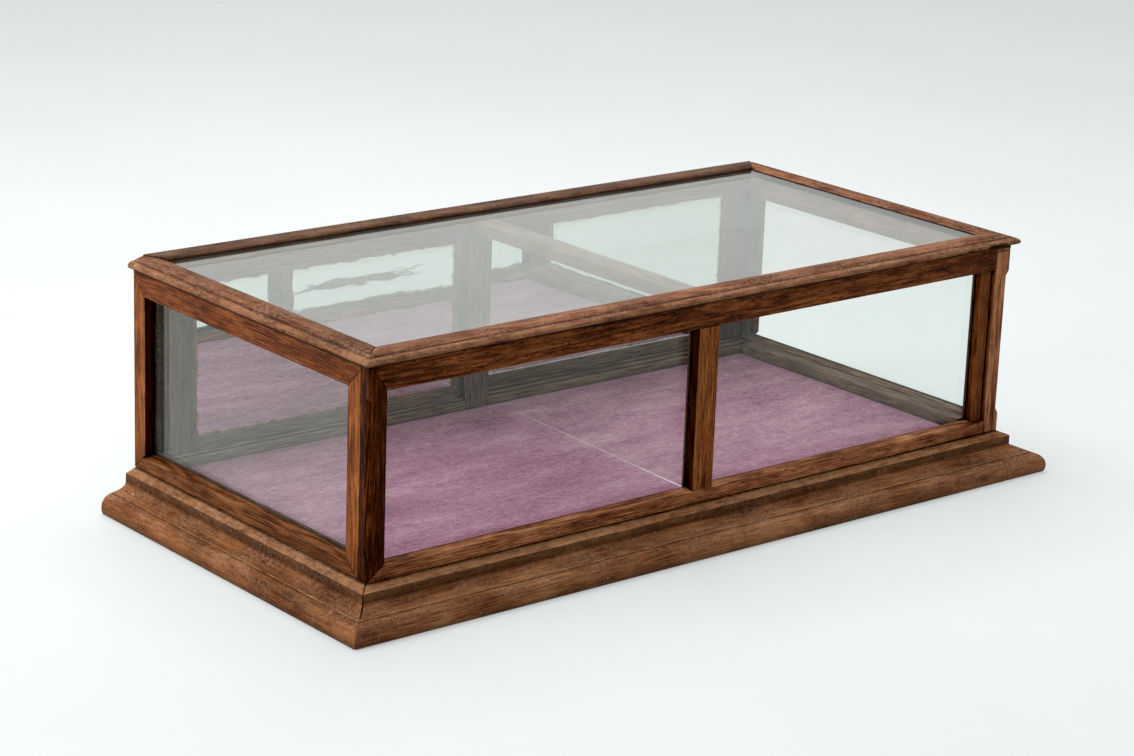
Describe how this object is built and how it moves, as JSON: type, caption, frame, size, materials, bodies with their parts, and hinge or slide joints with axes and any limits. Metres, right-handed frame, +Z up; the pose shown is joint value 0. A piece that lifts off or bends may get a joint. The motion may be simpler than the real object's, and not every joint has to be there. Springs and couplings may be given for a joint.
{
  "type": "countertop display case",
  "caption": "Low glazed oak countertop display case on a moulded base, glass top in a cornice frame, lined floor and mirrored sliding doors at the back.",
  "frame": {"origin": "on the table, under the middle of the box that holds the case", "axes": "+X to the right along the front, +Y from the front to the doors at the back, +Z up"},
  "size_m": [1.22, 0.5866, 0.35],
  "materials": {
    "oak_dark": "worn satin",
    "oak_warm": "worn satin",
    "oak_dusty": "dusty satin",
    "oak_inside": "matte",
    "deal": "matte",
    "cloth": "matte",
    "glass": "clear",
    "mirror": "aged silver"
  },
  "bodies": {
    "case": {"base_front_moulding": "oak_dusty", "base_left_moulding": "oak_dusty", "base_rear_rail": "deal", "base_right_moulding": "oak_dusty", "base_right_return": "oak_dusty", "cornice_front": "oak_warm", "cornice_left": "oak_warm", "cornice_rear": "oak_warm", "cornice_right": "oak_warm", "floor_bearer": "deal", "floor_board": "deal", "front_beads_left": "oak_inside", "front_beads_right": "oak_inside", "front_bottom_rail": "oak_warm", "front_glass_left": "glass", "front_glass_right": "glass", "front_left_stile": "oak_dark", "front_mullion": "oak_warm", "front_right_stile": "oak_warm", "front_top_rail": "oak_dark", "head_front_bead": "oak_inside", "head_parting_bead": "oak_inside", "head_rear_bead": "oak_inside", "left_beads": "oak_inside", "left_bottom_rail": "oak_warm", "left_front_stile": "oak_warm", "left_glass": "glass", "left_rear_stile": "oak_warm", "left_top_rail": "oak_warm", "lining_left": "cloth", "lining_right": "cloth", "rear_head": "oak_inside", "rear_post": "oak_inside", "rear_sill": "oak_inside", "right_beads": "oak_inside", "right_bottom_rail": "oak_warm", "right_floor_cleat": "oak_inside", "right_front_stile": "oak_warm", "right_glass": "glass", "right_rear_stile": "oak_warm", "right_top_rail": "oak_warm", "sill_front_bead": "oak_inside", "sill_parting_bead": "oak_inside", "sill_rear_bead": "oak_inside", "top_cross_bar": "oak_inside", "top_glass": "glass"},
    "left_door": {"left_door_backboard": "deal", "left_door_beads": "oak_inside", "left_door_bottom_rail": "oak_inside", "left_door_left_stile": "oak_inside", "left_door_mirror": "mirror", "left_door_right_stile": "oak_inside", "left_door_top_rail": "oak_inside"},
    "right_door": {"right_door_backboard": "deal", "right_door_beads": "oak_inside", "right_door_bottom_rail": "oak_inside", "right_door_left_stile": "oak_inside", "right_door_mirror": "mirror", "right_door_right_stile": "oak_inside", "right_door_top_rail": "oak_inside"}
  },
  "joints": [
    {"name": "left_door_slide", "type": "slide", "parent": "case", "child": "left_door", "axis": [1, 0, 0], "range_m": [0, 0.525]},
    {"name": "right_door_slide", "type": "slide", "parent": "case", "child": "right_door", "axis": [-1, 0, 0], "range_m": [0, 0.503]}
  ]
}
